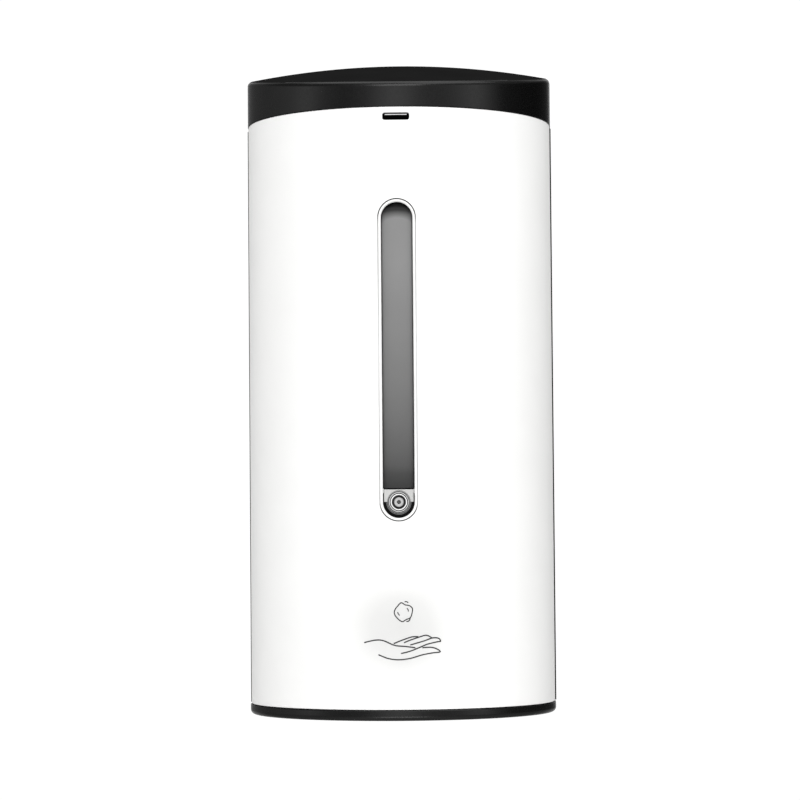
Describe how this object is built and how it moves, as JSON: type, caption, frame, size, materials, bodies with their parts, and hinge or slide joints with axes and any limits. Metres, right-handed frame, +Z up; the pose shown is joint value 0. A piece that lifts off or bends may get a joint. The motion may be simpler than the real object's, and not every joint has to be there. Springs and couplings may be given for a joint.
{
  "type": "wall mounted soap dispenser",
  "caption": "Touch-free wall soap dispenser: bowed white cover with a tall level window, black domed flip-up lid, black base with the outlet underneath, pump and batteries inside.",
  "frame": {"origin": "middle of the wall plate's rear face, on the wall plane", "axes": "+X to the right of a person facing the dispenser, +Y into the wall, +Z up"},
  "size_m": [0.1254, 0.1104, 0.2707],
  "materials": {
    "white_gloss": "smooth gloss",
    "black_gloss": "smooth gloss",
    "black_matte": "fine texture",
    "tank_grey": "translucent, smooth",
    "frame_white": "satin",
    "seal_rubber": "soft matte",
    "silicone": "translucent silicone",
    "steel": "plated",
    "pump_grey": "satin",
    "roller_white": "smooth",
    "board_green": "solder mask",
    "lamp_clear": "clear, polished",
    "sensor_dark": "infrared-passing, polished",
    "cell_wrap": "printed wrap, plain"
  },
  "bodies": {
    "wall_plate": {"wall_plate": "black_matte"},
    "housing": {"base_plate": "black_gloss", "base_screw_1": "steel", "base_screw_2": "steel", "base_screw_3": "steel", "base_screw_4": "steel", "battery_1": "cell_wrap", "battery_2": "cell_wrap", "battery_3": "cell_wrap", "battery_4": "cell_wrap", "battery_box": "black_matte", "contact_left": "steel", "contact_right": "steel", "control_board": "board_green", "controller_chip": "black_matte", "cover_screw_1": "steel", "cover_screw_2": "steel", "frame_screw_1": "steel", "frame_screw_2": "steel", "front_cover": "white_gloss", "gearbox": "pump_grey", "hinge_pin_left": "steel", "hinge_pin_right": "steel", "inner_frame": "frame_white", "ir_emitter": "lamp_clear", "ir_receiver": "sensor_dark", "latch_spring": "steel", "light_bezel": "black_matte", "motor": "steel", "nozzle": "frame_white", "nozzle_valve": "silicone", "power_switch": "black_matte", "pump_body": "pump_grey", "pump_cover": "roller_white", "pump_screw_1": "steel", "pump_screw_2": "steel", "pump_screw_3": "steel", "rear_housing": "black_gloss", "sensor_board": "board_green", "sensor_window": "sensor_dark", "soap_hose": "silicone", "soap_tank": "tank_grey", "status_light": "lamp_clear", "tank_outlet": "frame_white", "top_deck": "black_matte"},
    "lid": {"top_lid": "black_gloss", "lid_seal": "seal_rubber"},
    "latch": {"release_latch": "black_gloss"},
    "door": {"battery_door": "black_gloss", "door_contact": "steel"},
    "slider": {"switch_slider": "roller_white"},
    "rotor": {"pump_rotor": "pump_grey"},
    "roller_1": {"pump_roller_1": "roller_white"},
    "roller_2": {"pump_roller_2": "roller_white"},
    "roller_3": {"pump_roller_3": "roller_white"}
  },
  "joints": [
    {"name": "lift_off", "type": "slide", "parent": "wall_plate", "child": "housing", "axis": [0, 0, 1], "range_m": [0, 0.01]},
    {"name": "lid_hinge", "type": "hinge", "parent": "housing", "child": "lid", "pos_m": [0, -0.01, 0.1337], "axis": [-1, 0, 0], "range_deg": [0, 90]},
    {"name": "latch_press", "type": "slide", "parent": "housing", "child": "latch", "axis": [0, 1, 0], "range_m": [0, 0.002], "stiffness_N_per_m": 400},
    {"name": "battery_door_hinge", "type": "hinge", "parent": "housing", "child": "door", "pos_m": [0, -0.0112, -0.1304], "axis": [1, 0, 0], "range_deg": [0, 90]},
    {"name": "switch_slide", "type": "slide", "parent": "housing", "child": "slider", "axis": [1, 0, 0], "range_m": [0, 0.0045]},
    {"name": "rotor_spin", "type": "hinge", "parent": "housing", "child": "rotor", "pos_m": [0.01, -0.0795, -0.082], "axis": [0, 1, 0], "continuous": true},
    {"name": "roller_1_spin", "type": "hinge", "parent": "rotor", "child": "roller_1", "pos_m": [0.01, -0.0795, -0.0749], "axis": [0, 1, 0], "continuous": true},
    {"name": "roller_2_spin", "type": "hinge", "parent": "rotor", "child": "roller_2", "pos_m": [0.00385, -0.0795, -0.08555], "axis": [0, 1, 0], "continuous": true},
    {"name": "roller_3_spin", "type": "hinge", "parent": "rotor", "child": "roller_3", "pos_m": [0.01615, -0.0795, -0.08555], "axis": [0, 1, 0], "continuous": true}
  ],
  "couplings": [
    {"joint": "roller_1_spin", "follows": "rotor_spin", "ratio": -3.3125},
    {"joint": "roller_2_spin", "follows": "rotor_spin", "ratio": -3.3125},
    {"joint": "roller_3_spin", "follows": "rotor_spin", "ratio": -3.3125}
  ]
}
